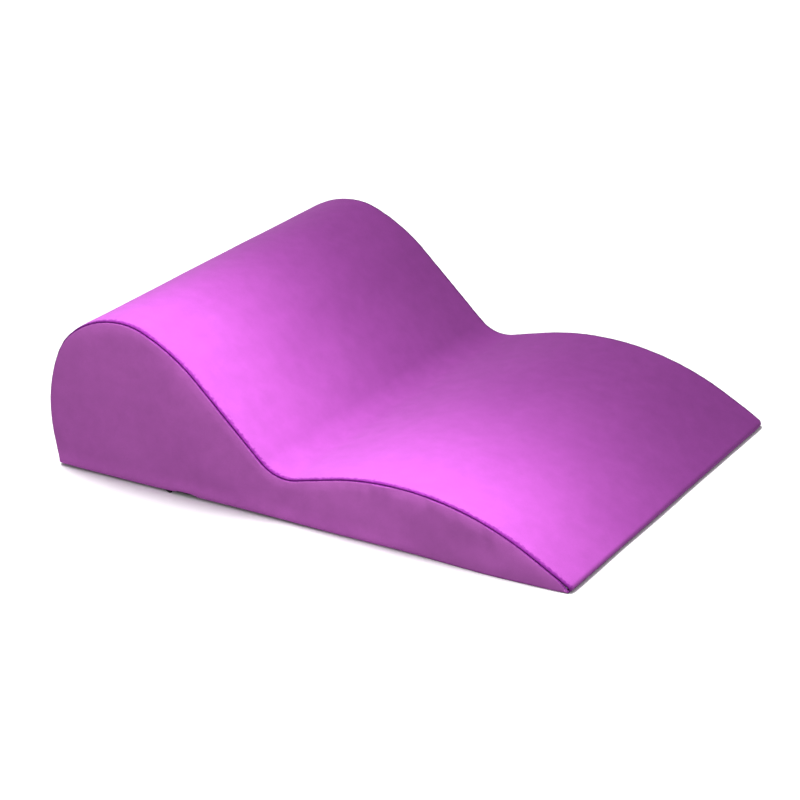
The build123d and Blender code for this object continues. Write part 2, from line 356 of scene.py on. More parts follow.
def velour_material(name, deep, light):
    """Short-pile velour: purple pile, faint brushed streaks, painted shade by the seams.

    A point attribute from -1 to 1 brightens the pile with painted light above 0 and darkens it with painted
    shade below 0.
    The attribute "seam" is 1 where painted shade lies, by the seams and in the gaping hem, and falls to 0
    away from there.
    """
    material, tree, shader = new_material(name)
    place = object_place(tree)
    patches = noise_node(tree, place, 9.0, 4.0, 0.55)
    streaks = noise_node(tree, place, 46.0, 5.0, 0.6)
    pile = noise_node(tree, place, 1500.0, 2.0, 0.7)
    base = ramp_node(tree, patches, [(0.30, deep), (0.72, light)])
    brushing = ramp_node(tree, streaks, greys(0.3, 0.94, 0.7, 1.05))
    brushed = mix_node(tree, "MULTIPLY", 1.0, base, brushing)
    grain = ramp_node(tree, pile, greys(0.3, 0.86, 0.7, 1.08))
    cloth = mix_node(tree, "MULTIPLY", 1.0, brushed, grain)
    # Painted light and painted shade on the sides' pile, from a point attribute.
    shade = math_node(tree, "MULTIPLY_ADD", attribute_value(tree, "painted_light_and_shade"), PAINTED_LIGHT_SHADE_BY, 1.0)
    cloth = mix_node(tree, "MULTIPLY", 1.0, cloth, shade)
    # Painted shade by the seams: a ragged band that takes on the shade colour.
    ragged = noise_node(tree, place, 260.0, 4.0, 0.65)
    torn = range_node(tree, ragged, (0.3, 0.7), (-RAGGED_BY, RAGGED_BY))
    reach = math_node(tree, "ADD", attribute_value(tree, "seam"), torn)
    stops = greys(0.42, 0.0, 0.62, 0.62) + [(0.95, (1, 1, 1))]
    dark = ramp_node(tree, reach, stops)
    coloured = mix_node(tree, "MIX", dark, cloth, SEAM_SHADE_COLOUR)
    fine = bump_node(tree, pile, 0.35, 0.0004)
    soft = bump_node(tree, streaks, 0.18, 0.0012, fine)
    set_inputs(shader, {"Base Color": coloured, "Normal": soft, "Roughness": 0.9, "Specular IOR Level": 0.1})
    set_inputs(shader, {"Sheen Weight": 0.06, "Sheen Roughness": 0.45, "Sheen Tint": SHEEN_TINT})
    return material


def woven_material(name, dark, light, scale, strength=0.5, roughness=0.75):
    """Plain woven cloth, its threads drawn by two crossed waves."""
    material, tree, shader = new_material(name)
    place = object_place(tree)
    heights = []
    for direction in ("X", "Y"):
        wave = tree.nodes.new("ShaderNodeTexWave")
        wave.bands_direction = direction
        set_inputs(wave, {"Vector": place, "Scale": scale, "Distortion": 0.6, "Detail": 1.0})
        heights.append(wave.outputs["Fac"])
    woven = math_node(tree, "MAXIMUM", *heights)
    threads = ramp_node(tree, woven, [(0.2, dark), (0.9, light)])
    worn = ramp_node(tree, noise_node(tree, place, 30.0), greys(0.3, 0.85, 0.7, 1.1))
    coloured = mix_node(tree, "MULTIPLY", 1.0, threads, worn)
    set_inputs(shader, {"Base Color": coloured, "Normal": bump_node(tree, woven, strength, 0.0003)})
    set_inputs(shader, {"Roughness": roughness, "Specular IOR Level": 0.3})
    return material


FOAM_SHADOW = (0.72, 0.69, 0.56)
FOAM_LIGHT = (0.83, 0.81, 0.70)


def foam_material():
    """Open-cell polyurethane foam, slightly yellowed."""
    material, tree, shader = new_material("foam")
    place = object_place(tree)
    cells = tree.nodes.new("ShaderNodeTexVoronoi")
    set_inputs(cells, {"Vector": place, "Scale": 900.0})
    depth = cells.outputs["Distance"]
    tint = ramp_node(tree, noise_node(tree, place, 12.0), [(0.3, FOAM_SHADOW), (0.7, FOAM_LIGHT)])
    # The foam is darker in the hollows of its pores: painted shade.
    coloured = mix_node(tree, "MULTIPLY", 1.0, tint, ramp_node(tree, depth, greys(0.0, 0.7, 0.6, 1.0)))
    bumpy = bump_node(tree, depth, 0.6, 0.0006)
    set_inputs(shader, {"Base Color": coloured, "Normal": bumpy, "Roughness": 0.95})
    return material


def moulded_material(name, colour, roughness):
    """Smooth moulded plastic or painted metal with faint handling marks."""
    material, tree, shader = new_material(name)
    marks = noise_node(tree, object_place(tree), 350.0, 4.0)
    light = tuple(min(1.0, c * 1.6 + 0.01) for c in colour)
    tint = ramp_node(tree, marks, [(0.35, colour), (0.75, light)])
    rough = range_node(tree, marks, (0.0, 1.0), (roughness * 0.8, min(1.0, roughness * 1.3)))
    bumpy = bump_node(tree, marks, 0.1, 0.0001)
    set_inputs(shader, {"Base Color": tint, "Roughness": rough, "Normal": bumpy})
    return material


# The sides take a lighter, less saturated copy of the top's velour: painted light on the sides.
velour_top = velour_material("velour_top", (0.166, 0.028, 0.176), (0.176, 0.031, 0.186))
velour_side = velour_material("velour_side", (0.205, 0.047, 0.205), (0.218, 0.052, 0.216))
base_cloth = woven_material("base_cloth", (0.006, 0.006, 0.007), (0.022, 0.022, 0.024), 500.0)
tape_cloth = woven_material("tape_cloth", (0.004, 0.004, 0.005), (0.02, 0.02, 0.022), 1100.0)
liner_cloth = woven_material("liner_cloth", (0.50, 0.50, 0.52), (0.68, 0.68, 0.70), 900.0, 0.3)
label_cloth = woven_material("label_cloth", (0.70, 0.70, 0.68), (0.86, 0.86, 0.84), 1400.0, 0.2, 0.5)
black_thread = woven_material("black_thread", (0.004, 0.004, 0.005), (0.03, 0.03, 0.032), 2500.0)
purple_thread = woven_material("purple_thread", (0.05, 0.006, 0.06), (0.12, 0.02, 0.14), 2500.0)
coil_plastic = moulded_material("coil_plastic", (0.008, 0.008, 0.009), 0.35)
slider_paint = moulded_material("slider_paint", (0.010, 0.010, 0.011), 0.32)
foam = foam_material()


# ---- cover: top strip

# Section across an edge of the cover: distance in from the flat side and height over
# the outline. Each panel rolls over a soft lip into the seam.
LIP = [
    (3.6, -4.4),
    (3.5, -3.2),
    (3.3, -2.3),
    (3.4, -1.5),
    (3.9, -0.95),
    (4.9, -0.6),
    (6.6, -0.36),
    (9.0, -0.18),
    (12.5, -0.06),
    (18.0, 0.0),
]
ACROSS_STEP = 12.0
HEM_TURN_IN = 5.5
HEM_ROUND = 2.8
# Where the outline comes down to the floor, a seam's lip keeps only part of its depth.
LIP_LEFT = 0.25
LIP_LOW = 1.0
LIP_RUN = 8.0
# The front corners draw back: how wide, how far on each side, and from where along X.
CORNER_WIDE = 14.0
CORNER_BACK_FAR = 6.0
CORNER_BACK_NEAR = 2.0
CORNER_FROM_X = 385.0
CORNER_RUN = 40.0


def strip_line():
    """Fine line of the top strip, from the back hem over the wave and under the nose."""
    heel = np.array(HEEL)
    bulge = np.array(WAVE[0][0])
    hem_x = float(heel[0] + (bulge - heel)[0] * HEM_LOW / (bulge - heel)[1])
    corners = [((HEEL[0] + HEM_TURN_IN, HEM_LOW), 0.0), ((hem_x, HEM_LOW), HEM_ROUND)]
    corners += WAVE + [((NOSE_SEAM_X - 1, 0.0), 0.0)]
    return rounded_line(corners)


def across_positions():
    """Section across the strip: (y, height over the outline, distance from a seam)."""
    near = [(-HALF_WIDTH + inset, height, inset - LIP[0][0]) for inset, height in LIP]
    start = HALF_WIDTH - LIP[-1][0]
    count = int(2 * start / ACROSS_STEP)
    middle = []
    for k in range(1, count):
        y = -start + 2 * start * k / count
        middle.append((y, 0.0, HALF_WIDTH - abs(y) - LIP[0][0]))
    far = [(-y, height, reach) for y, height, reach in reversed(near)]
    return np.array(near + middle + far)


def lip_room(z):
    """Share of its full depth that a seam's lip has where the outline is at height z."""
    return LIP_LEFT + (1 - LIP_LEFT) * smooth((z - LIP_LOW) / LIP_RUN)


def front_corner(x, y):
    """How far the front corners draw back along X, more on the slack far side."""
    into = np.clip((np.abs(y) - (HALF_WIDTH - CORNER_WIDE)) / CORNER_WIDE, 0, 1)
    back = np.where(y > 0, CORNER_BACK_FAR, CORNER_BACK_NEAR)
    return back * into**2 * smooth((x - CORNER_FROM_X) / CORNER_RUN)


def make_top_strip():
    """The long velour strip with its rolled edges."""
    line = strip_line()
    total = lengths(line)[-1]
    stations = stations_of(total, SEAM_FINE_BACK, SEAM_FINE_FRONT)
    placed, normal = resample(line, stations)
    across = across_positions()
    rows, columns = len(stations), len(across)
    points = np.zeros((rows, columns, 3))
    points[:, :, 0] = placed[:, None, 0]
    points[:, :, 1] = across[None, :, 0]
    points[:, :, 2] = placed[:, None, 1]
    flat = points.reshape(-1, 3)
    sag = wobble(flat, 95.0, 1) * 0.5 + wobble(flat, 34.0, 2) * 0.16
    edge = np.exp(-across[:, 2] / 9.0)
    pulls = wobble(points_of(np.repeat(stations, columns), flat[:, 1] * 0.3, 0.0), 11.0, 3)
    height = across[None, :, 1] + sag.reshape(rows, columns) * (1 - edge[None, :])
    height = height + pulls.reshape(rows, columns) * 0.22 * edge[None, :]
    height = height * lip_room(placed[:, 1])[:, None]
    points[:, :, 0] += normal[:, None, 0] * height
    points[:, :, 2] += normal[:, None, 1] * height
    points[:, :, 2] = np.maximum(points[:, :, 2], 0.25)
    points[:, :, 0] -= front_corner(points[:, :, 0], points[:, :, 1])
    uvs = points_of(np.repeat(stations, columns), np.tile(across[:, 0], rows))
    shell, faces = closed_shell(points.reshape(-1, 3), grid_faces(rows, columns, True), VELOUR_THICK)
    strip = new_object("velour_top_strip", shell, faces, velour_top, np.concatenate([uvs, uvs]))
    # Painted shade along both seams, fading onto the top.
    seam = np.tile(np.exp(-np.maximum(across[:, 2] - 0.4, 0) / 5.2), rows)
    set_attribute(strip, "seam", seam)
    finish_soft(strip, "cover_top_panel")


# ---- cover: flat panels


def distance_to_line(points, line):
    """Distance from each 2-D point to a polyline, and the nearest point's normal."""
    start = line[:-1]
    run = line[1:] - start
    size = np.maximum((run * run).sum(1), 1e-12)
    best = np.full(len(points), 1e9)
    normal = np.zeros((len(points), 2))
    for i, p in enumerate(points):
        t = np.clip(((p - start) * run).sum(1) / size, 0, 1)
        away = p - (start + run * t[:, None])
        d = np.hypot(away[:, 0], away[:, 1])
        k = int(d.argmin())
        best[i] = d[k]
        normal[i] = (-run[k, 1], run[k, 0])
    return best, normal / np.linalg.norm(normal, axis=1)[:, None]


def inside(points, loop):
    """Which 2-D points lie inside a closed loop."""
    x, z = points[:, 0], points[:, 1]
    within = np.zeros(len(points), bool)
    j = len(loop) - 1
    for i in range(len(loop)):
        crosses = (loop[i, 1] > z) != (loop[j, 1] > z)
        slope = (loop[j, 0] - loop[i, 0]) / (loop[j, 1] - loop[i, 1] + 1e-12)
        within ^= crosses & (x < slope * (z - loop[i, 1]) + loop[i, 0])
        j = i
    return within


def filled_panel(loop, insets, spacing):
    """Triangles that fill a closed loop, with rings of points along its edge."""
    closed = np.concatenate([loop, loop[:1]])
    run = closed[1:] - closed[:-1]
    area = (closed[:-1, 0] * closed[1:, 1] - closed[1:, 0] * closed[:-1, 1]).sum() / 2
    turn = 1.0 if area > 0 else -1.0
    inward = points_of(-run[:, 1], run[:, 0]) * turn
    inward /= np.maximum(np.linalg.norm(inward, axis=1), 1e-9)[:, None]
    inward = inward + np.roll(inward, 1, axis=0)
    inward /= np.linalg.norm(inward, axis=1)[:, None]
    points = [loop]
    for inset in insets:
        ring = loop + inward * inset
        ring = ring[inside(ring, loop)]
        reach, _ = distance_to_line(ring, closed)
        points.append(ring[reach > inset * 0.93])
    low, high = loop.min(0), loop.max(0)
    columns = np.arange(low[0], high[0], spacing)
    rows = np.arange(low[1], high[1], spacing * 0.87)
    grid = []
    for k, z in enumerate(rows):
        grid += [(x + (k % 2) * spacing / 2, z) for x in columns]
    grid = np.array(grid)
    grid = grid[inside(grid, loop)]
    reach, _ = distance_to_line(grid, closed)
    points.append(grid[reach > insets[-1] + spacing * 0.6])
    every = np.concatenate(points)
    count = len(loop)
    rim = [(i, (i + 1) % count) for i in range(count)]
    placed, _, faces, *_ = delaunay_2d_cdt([Vector(p) for p in every], rim, [], 1, 1e-4)
    placed = np.array([tuple(p) for p in placed])
    faces = [list(f) for f in faces]
    a, b, c = (placed[faces[0][k]] for k in range(3))
    if (b[0] - a[0]) * (c[1] - a[1]) - (b[1] - a[1]) * (c[0] - a[0]) < 0:
        faces = [f[::-1] for f in faces]
    return placed, faces


# Section of a side panel at its seam, by distance from the outline.
SEAM_AT = [0.0, 0.6, 1.2, 2.0, 3.2, 4.8, 7.4, 10.5, 14.0, 19.0]
SEAM_DROP = [4.3, 3.6, 3.1, 3.2, 3.9, 5.2, 7.5, 10.5, 14.0, 19.0]
SEAM_IN = [4.1, 3.1, 2.1, 1.5, 1.2, 1.0, 0.75, 0.45, 0.18, 0.0]
# Section of a side panel at its rolled lower edge, by height.
HEM_AT = [0.0, 1.0, 2.0, 3.0, 4.2, 6.0, 8.5, 11.5, 16.0]
HEM_UP = [1.1, 0.55, 0.35, 0.6, 1.3, 3.0, 6.0, 9.8, 16.0]
HEM_IN = [5.6, 4.4, 3.0, 1.8, 0.8, 0.2, 0.0, 0.0, 0.0]
HEM_IN_FRONT = [5.6, 3.6, 1.2, 0.3, 0.0, 0.0, 0.0, 0.0, 0.0]
PANEL_INSETS = [0.6, 1.0, 2.0, 3.0, 4.2, 6.0, 8.5, 11.5, 14.5, 19.0]

# How far the lower edge is lifted off the floor: (x, lift). It rides up over the zip
# and in the dip, and lies flat under the hump.
LIFT = [
    (-405, 2.1),
    (-386, 2.7),
    (-370, 2.1),
    (-300, 1.9),
    (-234, 1.8),
    (-216, 2.4),
    (-204, 2.7),
    (-196, 5.4),
    (-172, 5.4),
    (-162, 2.2),
    (-90, 2.4),
    (-20, 1.8),
    (50, 0.5),
    (120, 0.4),
    (168, 0.4),
    (230, -0.1),
    (300, -0.1),
    (370, -0.1),
    (415, 0.0),
]
# Where the hem gapes beside the end of the zip: start and end along X.
GAPE = (-206.0, -163.0)
GAPE_RUN = 8.0
FAR_LIFT_MOST = 2.4
CLEAR_OF_FLOOR = 0.3
# Towards the thin nose the rolled hem gets shallower, and on the near side the foot spreads.
SLIM_FROM_X = 350.0
SLIM_RUN = 55.0
FRONT_HEM_X = 150.0
FRONT_HEM_RUN = 100.0
INSET_MOST = 6.0
SPREAD_X = 300.0
SPREAD_RUN = 70.0
SPREAD_HIGH = 45.0
SPREAD_BY = 3.5
# Puckers reach PUCKER_REACH from the seam. They are deep between two places along X.
PUCKER = 1.5
PUCKER_REACH = 15.0
PUCKER_FROM_X, PUCKER_FROM_RUN = 20.0, 80.0
PUCKER_TO_X, PUCKER_TO_RUN = 300.0, 70.0
# Painted light low down at the back, for light thrown up by the floor, and painted shade towards the front.
PAINTED_BOUNCE_HIGH, PAINTED_BOUNCE_RUN = 4.0, 28.0
FRONT_SHADE_X, FRONT_SHADE_RUN = 110.0, 170.0
FRONT_SHADE_BY = 0.85
FRONT_SHADE_FADE = 9.0
PANEL_SPACING = 11.0


def side_loop():
    """The wave outline closed along the floor, as points for a panel's edge."""
    line = rounded_line(CLOSED_WAVE)
    total = lengths(line)[-1]
    wave, _ = resample(line, stations_of(total, SIDE_FINE_BACK, SEAM_FINE_FRONT))
    floor_x = np.arange(NOSE_SEAM_X - PATH_STEP, HEEL[0] + 1, -PATH_STEP)
    return wave, np.concatenate([wave, points_of(floor_x, 0.0)])


def floor_lift(x):
    """How far the lower edge is off the floor at each x."""
    return np.interp(x, *zip(*LIFT))


def bump_between(x, start, end, run):
    """1 between two places along X, fading to 0 over a run inside each end."""
    return smooth((x - start) / run) * (1 - smooth((x - end + run) / run))


def side_inset(x, height, from_seam, side):
    """How far in from the flat side the cloth lies, at its seam and at its rolled hem."""
    slim = 1 - 0.75 * smooth((x - SLIM_FROM_X) / SLIM_RUN)
    gape = bump_between(x, *GAPE, GAPE_RUN) * (side < 0)
    ahead = smooth((x - FRONT_HEM_X) / FRONT_HEM_RUN)
    back_tuck = np.interp(height, HEM_AT, HEM_IN)
    front_tuck = np.interp(height, HEM_AT, HEM_IN_FRONT)
    tuck = (1 - ahead) * back_tuck + ahead * front_tuck
    inset = np.interp(from_seam, SEAM_AT, SEAM_IN) * (1 - 0.65 * (1 - slim) * smooth(from_seam / 3))
    inset = np.minimum(inset + tuck * slim * (1 - 0.6 * gape), INSET_MOST)
    spread = np.exp(-(((x - SPREAD_X) / SPREAD_RUN) ** 2)) * (1 - smooth(height / SPREAD_HIGH))
    return inset - SPREAD_BY * spread * (side < 0), gape


def side_slack(x, height, from_seam, side, seed):
    """Puckers gathered by the seam, most under the hump, and slack in the middle."""
    flat = points_of(x, side * HALF_WIDTH, height)
    along = points_of(x, 0.0, from_seam * 0.25)
    rising = smooth((x - PUCKER_FROM_X) / PUCKER_FROM_RUN)
    gather = 0.25 + 0.75 * rising * (1 - smooth((x - PUCKER_TO_X) / PUCKER_TO_RUN))
    pucker = (wobble(along, 26.0, seed) + 0.5 * wobble(along, 11.0, seed + 1)) * gather
    pucker = pucker * PUCKER * np.exp(-((from_seam / PUCKER_REACH) ** 2)) * smooth(from_seam / 3.0)
    above_hem = smooth((height - HEM_AT[-3]) / 20.0)
    slack = wobble(flat, 120.0, seed + 2) * 0.9 + wobble(flat, 45.0, seed + 3) * 0.25
    return pucker + slack * smooth(from_seam / 40.0) * above_hem


def side_shading(x, height, from_seam, gape):
    """Painted shade by the seam and in the gaping hem, painted light low down, painted shade in front."""
    # Painted shade in the seam groove, and in the crease where the hem gapes by the zip.
    seam = np.exp(-np.maximum(from_seam - 1.9, 0) / 1.1)
    crease = gape * np.exp(-np.maximum(height - 1.5, 0) / 1.5)
    # Painted shade towards the front, fading out by the seam, and painted light low down at the back.
    front = smooth((x - FRONT_SHADE_X) / FRONT_SHADE_RUN)
    low = 1 - smooth((height - PAINTED_BOUNCE_HIGH) / PAINTED_BOUNCE_RUN)
    front_shade = FRONT_SHADE_BY * front * (1 - np.exp(-from_seam / FRONT_SHADE_FADE))
    painted_light_and_shade = low * (1 - front) - front_shade
    return np.maximum(seam, crease), painted_light_and_shade


def make_side_panel(name, side, node, seed):
    """A flat side with its rolled seam, soft puckers and wavy lower edge."""
    wave, loop = side_loop()
    placed, faces = filled_panel(loop, PANEL_INSETS, PANEL_SPACING)
    x, height = placed[:, 0], placed[:, 1]
    from_seam, normal = distance_to_line(placed, wave)
    drop = np.interp(from_seam, SEAM_AT, SEAM_DROP) - from_seam
    drop[from_seam > SEAM_AT[-1]] = 0
    drop = drop * lip_room(height + normal[:, 1] * from_seam)
    lift = floor_lift(x) * (1 - smooth(height / 30.0))
    if side > 0:
        lift = np.minimum(lift, FAR_LIFT_MOST)
    rise = np.interp(height, HEM_AT, HEM_UP) - height
    rise[height > HEM_AT[-1]] = 0
    inset, gape = side_inset(x, height, from_seam, side)
    points = np.zeros((len(placed), 3))
    points[:, 0] = x - normal[:, 0] * drop
    points[:, 1] = side * (HALF_WIDTH - inset + side_slack(x, height, from_seam, side, seed))
    points[:, 2] = np.maximum(height - normal[:, 1] * drop + rise + lift, CLEAR_OF_FLOOR)
    points[:, 0] -= front_corner(points[:, 0], points[:, 1])
    if side > 0:
        faces = [f[::-1] for f in faces]
    at_zip = smooth((RECESS_END_X - x) / 4) * (1 - smooth((height - 1.2) / 2.4))
    shell, faces = closed_shell(points, faces, VELOUR_THICK * (1 + at_zip))
    panel = new_object(name, shell, faces, velour_side, np.concatenate([placed, placed]))
    # Painted shade by the seam and in the gaping hem, and painted light and painted shade on the rest of the
    # pile.
    seam, painted_light_and_shade = side_shading(x, height, from_seam, gape)
    set_attribute(panel, "seam", seam)
    set_attribute(panel, "painted_light_and_shade", painted_light_and_shade)
    finish_soft(panel, node)


def finish_soft(made, node):
    """A piece on the cushion that stands for a CAD node."""
    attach(made, "cushion")
    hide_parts(node)


# ---- cover: underside

# The cloth steps up to RIM_LOW at the zip. The rest lies at BASE_LOW.
RIM_OFFSET = -5.4
RIM_STEP = 4.0
RIM_LOW = 3.3
RIM_WIDE = 6.0
RIM_SOFT = 2.2
BASE_LOW = 0.3
# Ahead of the zip its edge rises to meet the lifted side hem, up to near the nose.
EDGE_RISE = 1.0
EDGE_RISE_RUN = 9.0
EDGE_RISE_TO_X = 330.0
EDGE_FADE = 70.0
BASE_EDGE_Y = HALF_WIDTH - 5.7
BASE_RINGS = [1.5, 3.0, 4.5, RIM_WIDE, 6.8, 7.8, 9.0, 12.0]


def u_line(offset, end_x, spacing=1.0):
    """The zip's U in plan, moved outwards by an offset, from the near end to the far end."""
    y = ZIP_Y + offset
    x = ZIP_BACK_X - offset
    corners = [((end_x, -y), 0.0), ((x, -y), ZIP_CORNER + offset), ((x, y), ZIP_CORNER + offset)]
    line = rounded_line(corners + [((end_x, y), 0.0)], spacing)
    total = lengths(line)[-1]
    return resample(line, np.linspace(0, total, int(total / spacing) + 1))


def base_height(points):
    """Height of the underside cloth's lower face at points in plan."""
    rim, _ = u_line(RIM_OFFSET, RECESS_END_X, RIM_STEP)
    start = np.array([[RECESS_END_X, -BASE_EDGE_Y]])
    rim = np.concatenate([start, rim, start * [1, -1]])
    from_rim, _ = distance_to_line(points, rim)
    over_zip = 1 - smooth((from_rim - RIM_WIDE) / RIM_SOFT)
    from_side = np.maximum(BASE_EDGE_Y - np.abs(points[:, 1]), 0)
    ahead = smooth((points[:, 0] - RECESS_END_X - 2) / 12)
    lifted = np.maximum(floor_lift(points[:, 0]), 0) + EDGE_RISE
    lifted = lifted * (1 - smooth(from_side / EDGE_RISE_RUN)) * ahead
    lifted = lifted * (1 - smooth((points[:, 0] - EDGE_RISE_TO_X) / EDGE_FADE))
    return BASE_LOW + np.maximum((RIM_LOW - BASE_LOW) * over_zip, lifted), over_zip


def make_base():
    """Black underside cloth. Its edge steps up to the zip and meets the side hems."""
    rim, _ = u_line(RIM_OFFSET, RECESS_END_X, RIM_STEP)
    side_x = np.arange(RECESS_END_X, NOSE_SEAM_X - 1, 6.0)
    near = points_of(side_x[::-1], -BASE_EDGE_Y)
    far = points_of(side_x, BASE_EDGE_Y)
    front = points_of(NOSE_SEAM_X - 1.2, np.linspace(BASE_EDGE_Y, -BASE_EDGE_Y, 100))
    loop = np.concatenate([near, rim, far, front])
    placed, faces = filled_panel(loop, BASE_RINGS, 14.0)
    low, over_zip = base_height(placed)
    creep = wobble(points_of(placed[:, 0], placed[:, 1], 0.0), 60.0, 40) * 0.12
    points = points_of(placed[:, 0], placed[:, 1], low + np.maximum(creep, -0.2))
    faces = [f[::-1] for f in faces]
    shell, faces = closed_shell(points, faces, BASE_THICK * (1 + over_zip))
    base = new_object("base_cloth_panel", shell, faces, base_cloth, np.concatenate([placed, placed]))
    finish_soft(base, "cover_base_panel")


# ---- zip and threads

# Each tape, by the offsets of its edges from the zip line.
TAPE_OUTER = (0.8, 7.9)
TAPE_INNER = (-9.3, -0.8)
TAPE_COLUMNS = 6
TAPE_STITCH_OFFSET = 6.7

# A coil is a spiral round a line beside the zip line.
COIL_PITCH = 1.6
COIL_STEPS = 8
COIL_MIDDLE = 1.85
COIL_HALF = 0.85
COIL_TALL = 0.58
COIL_WIRE = 0.28

STITCH = 3.0
STITCH_GAP = 0.5
STITCH_STEPS = 5
TAPE_THREAD = 0.22
SEAM_THREAD = 0.3
BASE_THREAD = 0.25
SEAM_THREAD_DEEP = 4.1
SEAM_THREAD_IN = 3.9


def band_along(line, normal, offsets, height):
    """Points of a flat strip that follows a line in plan, at offsets along its normal."""
    points = []
    for (x, y), (nx, ny) in zip(line, normal):
        points += [(x + nx * offset, y + ny * offset, height) for offset in offsets]
    return np.array(points)


def make_tape(name, node, first, last, seed):
    """Woven zip tape between two offsets from the zip line."""
    line, normal = u_line(0.0, TAPE_END_X, 2.0)
    points = band_along(line, -normal, np.linspace(first, last, TAPE_COLUMNS), TAPE_LOW)
    points[:, 2] += wobble(points, 22.0, seed) * 0.05
    faces = grid_faces(len(line), TAPE_COLUMNS)
    shell, faces = closed_shell(points, faces, TAPE_THICK - 0.1)
    tape = new_object(name, shell, faces, tape_cloth)
    finish_soft(tape, node)


def tube(points, radius, sides):
    """A round thread through 3-D points, as points and faces."""
    points = np.asarray(points, float)
    ahead = np.gradient(points, axis=0)
    ahead /= np.linalg.norm(ahead, axis=1)[:, None]
    guide = np.tile(np.array([0.0, 0.0, 1.0]), (len(points), 1))
    guide[np.abs(ahead[:, 2]) > 0.9] = (1.0, 0.0, 0.0)
    first = np.cross(ahead, guide)
    first /= np.linalg.norm(first, axis=1)[:, None]
    second = np.cross(ahead, first)
    angles = np.arange(sides) * 2 * math.pi / sides
    ring = np.cos(angles)[None, :, None] * first[:, None] + np.sin(angles)[None, :, None] * second[:, None]
    reach = np.full(len(points), radius)
    reach[0] = reach[-1] = radius * 0.45
    verts = (points[:, None] + ring * reach[:, None, None]).reshape(-1, 3)
    faces = []
    for i in range(len(points) - 1):
        for j in range(sides):
            a, b = i * sides + j, i * sides + (j + 1) % sides
            faces.append([a, a + sides, b + sides, b])
    faces.append(list(range(sides)))
    last = (len(points) - 1) * sides
    faces.append([last + j for j in reversed(range(sides))])
    return verts, faces


def make_coil(name, node, side):
    """Spiral of plastic filament sewn along one tape's edge."""
    line, normal = u_line(0.0, ZIP_END_X, 0.5)
    along = lengths(line)
    steps = np.arange(0, along[-1], COIL_PITCH / COIL_STEPS)
    turn = steps / COIL_PITCH * 2 * math.pi + (0 if side > 0 else math.pi)
    x = np.interp(steps, along, line[:, 0])
    y = np.interp(steps, along, line[:, 1])
    nx = np.interp(steps, along, -normal[:, 0])
    ny = np.interp(steps, along, -normal[:, 1])
    offset = side * (COIL_MIDDLE - COIL_HALF * np.cos(turn))
    points = points_of(x + nx * offset, y + ny * offset, ZIP_MID_Z + COIL_TALL * np.sin(turn))
    verts, faces = tube(points, COIL_WIRE, 4)
    coil = new_object(name, verts, faces, coil_plastic)
    finish_soft(coil, node)


def make_stitches(name, node, lines, radius, material):
    """Rows of single stitches along 3-D lines."""
    verts, faces = [], []
    count = 0
    for line in lines:
        line = np.asarray(line, float)
        along = lengths(line)
        for k in range(int(along[-1] / STITCH)):
            steps = np.linspace(k * STITCH, (k + 1) * STITCH - STITCH_GAP, STITCH_STEPS)
            points = np.stack([np.interp(steps, along, line[:, i]) for i in range(3)], axis=1)
            new_verts, new_faces = tube(points, radius, 5)
            verts.append(new_verts)
            faces += [[i + count for i in f] for f in new_faces]
            count += len(new_verts)
    made = new_object(name, np.concatenate(verts), faces, material)
    finish_soft(made, node)


def make_zip():
    """Both tapes with their coils and stitching."""
    make_tape("zip_tape_outer", "zip_tape_side", *TAPE_OUTER, 50)
    make_tape("zip_tape_inner", "zip_tape_base", *TAPE_INNER, 51)
    make_coil("zip_coil_outer", "zip_coil_side", 1)
    make_coil("zip_coil_inner", "zip_coil_base", -1)
    for name, node, side in (("outer", "zip_stitching_side", 1), ("inner", "zip_stitching_base", -1)):
        line, _ = u_line(side * TAPE_STITCH_OFFSET, TAPE_END_X)
        row = points_of(line[:, 0], line[:, 1], TAPE_LOW + TAPE_THICK + 0.12)
        make_stitches("zip_stitches_" + name, node, [row], TAPE_THREAD, black_thread)


def make_seam_threads():
    """Stitches at the bottom of each side seam, and along the underside's seam."""
    line = strip_line()
    total = lengths(line)[-1]
    placed, normal = resample(line, np.arange(16, total - 34, 1.0))
    for name, node, side in (("near", "side_seam_thread_near", -1), ("far", "side_seam_thread_far", 1)):
        sunk = placed - normal * SEAM_THREAD_DEEP
        row = points_of(sunk[:, 0], side * (HALF_WIDTH - SEAM_THREAD_IN), sunk[:, 1])
        make_stitches("seam_stitches_" + name, node, [row], SEAM_THREAD, purple_thread)
    x = np.arange(RECESS_END_X + 8, NOSE_SEAM_X - 12, 1.0)
    rows = []
    for side in (-1, 1):
        y = side * (BASE_EDGE_Y - 1.5)
        low, _ = base_height(points_of(x, y))
        rows.append(points_of(x, y, low + 1.35))
    y = np.arange(-BASE_EDGE_Y + 5, BASE_EDGE_Y - 5, 1.0)
    rows.append(points_of(NOSE_SEAM_X - 4.0, y, BASE_LOW + 1.3))
    make_stitches("base_seam_stitches", "base_seam_thread", rows, BASE_THREAD, purple_thread)


LABEL_X = (-100.0, -40.0)
LABEL_Y = (-298.0, -260.0)
LABEL_COLUMNS = 31
LABEL_ROWS = 20


def make_label():
    """Blank woven care label, held at the base seam and lying on the underside cloth."""
    x = np.linspace(*LABEL_X, LABEL_COLUMNS)
    y = np.linspace(*LABEL_Y, LABEL_ROWS)
    grid = np.array([[(a, b) for b in y] for a in x]).reshape(-1, 2)
    low, _ = base_height(grid)
    curl = 0.25 * smooth((grid[:, 1] - LABEL_Y[0] - 14) / 24) * (0.6 + 0.4 * np.sin(grid[:, 0] / 9.0))
    points = points_of(grid[:, 0], grid[:, 1], low + 1.3 + curl)
    shell, faces = closed_shell(points, grid_faces(LABEL_COLUMNS, LABEL_ROWS), LABEL_THICK)
    label = new_object("care_label_cloth", shell, faces, label_cloth)
    finish_soft(label, "care_label")


# ---- foam and liner

